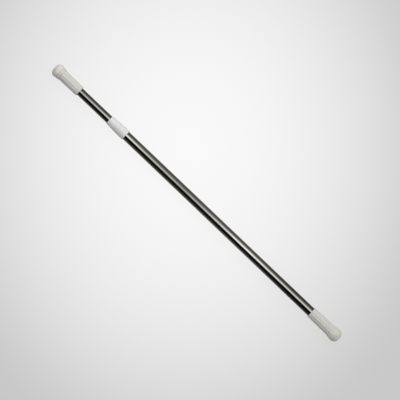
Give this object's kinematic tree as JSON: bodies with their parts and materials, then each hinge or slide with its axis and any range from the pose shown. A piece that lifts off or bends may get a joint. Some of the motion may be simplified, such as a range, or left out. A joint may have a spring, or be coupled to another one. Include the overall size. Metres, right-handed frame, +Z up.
{
  "type": "door security bar",
  "caption": "Telescopic bar that wedges a door shut: a thin chromed tube slides in a thick one, a collar locks it, and rounded feet on fluted sleeves grip at each end.",
  "frame": {"origin": "centre of the outer foot's flat contact face, on the bar's axis", "axes": "+X along the bar from the thick tube's foot to the thin tube's foot, +Z up with the bar lying level, +Y across"},
  "size_m": [1.0215, 0.0368, 0.0368],
  "materials": {
    "chromed_tube": "bright chrome plate on steel tube, polished",
    "cap_plastic": "moulded off-white plastic, fine satin texture",
    "foot_rubber": "off-white moulded rubber, matt",
    "collar_plastic": "white moulded plastic, semi-gloss",
    "plated_steel": "bright zinc plate",
    "spring_steel": "blackened spring steel",
    "turned_aluminium": "turned aluminium",
    "nut_brass": "turned brass",
    "dark_nylon": "black moulded nylon",
    "clamp_acetal": "natural acetal",
    "wiper_rubber": "black nitrile rubber"
  },
  "bodies": {
    "outer_bar": {"outer_tube": "chromed_tube", "outer_end_sleeve": "cap_plastic", "outer_foot_pad": "foot_rubber", "outer_foot_washer": "plated_steel", "outer_foot_screw": "plated_steel", "outer_tube_plug": "dark_nylon", "outer_plug_pin": "plated_steel", "mouth_bush": "dark_nylon", "thread_sleeve": "turned_aluminium"},
    "clamp": {"clamp_ring": "clamp_acetal"},
    "collar": {"lock_collar": "collar_plastic", "wiper_ring": "wiper_rubber"},
    "inner_bar": {"inner_tube": "chromed_tube", "guide_bush": "dark_nylon", "guide_bush_pin": "plated_steel", "jack_plug": "dark_nylon", "jack_plug_rivets": "plated_steel", "jack_retaining_ring": "spring_steel", "jack_thrust_washer": "plated_steel"},
    "grip": {"jack_grip": "cap_plastic", "jack_nut": "nut_brass"},
    "jack_foot": {"jack_screw": "plated_steel", "jack_stop_collar": "plated_steel", "jack_stop_pin": "plated_steel", "foot_jam_nut": "plated_steel", "foot_washer": "plated_steel", "foot_flange": "cap_plastic", "inner_foot_pad": "foot_rubber"}
  },
  "joints": [
    {"name": "telescope", "type": "slide", "parent": "outer_bar", "child": "inner_bar", "axis": [1, 0, 0], "range_m": [-0.095, 0.3]},
    {"name": "collar_travel", "type": "slide", "parent": "outer_bar", "child": "clamp", "axis": [1, 0, 0], "range_m": [0, 0.002]},
    {"name": "collar_twist", "type": "hinge", "parent": "clamp", "child": "collar", "pos_m": [0.7955, 0, 0], "axis": [1, 0, 0], "range_deg": [0, 120]},
    {"name": "grip_spin", "type": "hinge", "parent": "inner_bar", "child": "grip", "pos_m": [0.963, 0, 0], "axis": [1, 0, 0], "range_deg": [0, 1440]},
    {"name": "foot_travel", "type": "slide", "parent": "inner_bar", "child": "jack_foot", "axis": [1, 0, 0], "range_m": [0, 0.02]}
  ],
  "couplings": [
    {"joint": "collar_twist", "follows": "collar_travel", "rad_per_m": 1047.2},
    {"joint": "grip_spin", "follows": "foot_travel", "rad_per_m": 1256.6}
  ]
}
